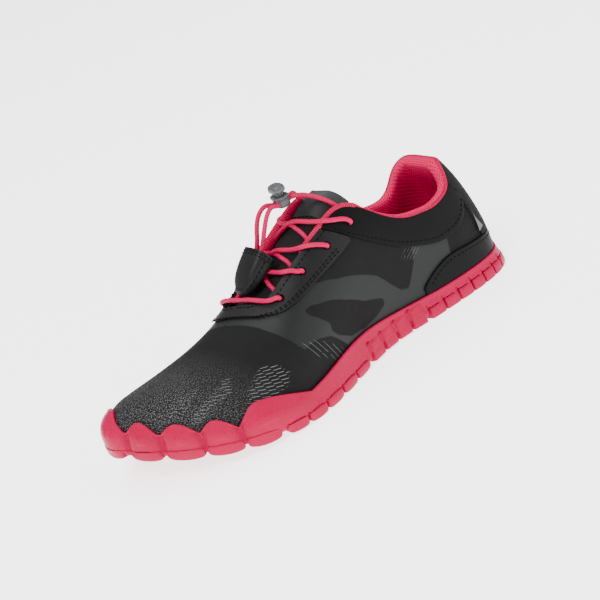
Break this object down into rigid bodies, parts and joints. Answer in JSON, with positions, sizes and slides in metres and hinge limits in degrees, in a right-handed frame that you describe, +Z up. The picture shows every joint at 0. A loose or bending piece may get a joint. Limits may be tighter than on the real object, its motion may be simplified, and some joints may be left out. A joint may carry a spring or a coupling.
{
  "type": "barefoot shoe",
  "caption": "Left barefoot shoe with a knitted upper, padded collar, rubber cup sole with toe lobes and side lugs, and an elastic draw lace with a cord lock.",
  "frame": {"origin": "middle of the heel stud's flat underside, on the ground", "axes": "+X towards the toe along the longest extent, +Y towards the outer side, +Z up"},
  "size_m": [0.2665, 0.0989, 0.1104],
  "materials": {
    "rubber": "satin",
    "foam": "matte",
    "knit": "matte",
    "overlay": "satin",
    "lining": "matte",
    "tongue": "matte",
    "cord": "matte",
    "plastic": "satin"
  },
  "bodies": {
    "shoe": {"outsole": "rubber", "insole": "foam", "upper": "knit", "collar_lining": "lining", "collar_band_outer": "overlay", "collar_band_inner": "overlay", "eyestay": "overlay", "heel_counter": "overlay", "heel_tab": "knit", "tongue": "tongue", "lace_bar_1": "cord", "lace_crossing_1": "cord", "lace_crossing_2": "cord", "lace_crossing_3": "cord", "lace_pocket": "overlay", "lace_top_outer": "cord", "lace_top_inner": "cord", "lace_tail_outer": "cord", "lace_tail_inner": "cord", "lock_barrel": "plastic"},
    "lock_button_body": {"lock_button": "plastic"}
  },
  "joints": [
    {"name": "button_press", "type": "slide", "parent": "shoe", "child": "lock_button_body", "axis": [0, 0, -1], "range_m": [0, 0.002]}
  ]
}
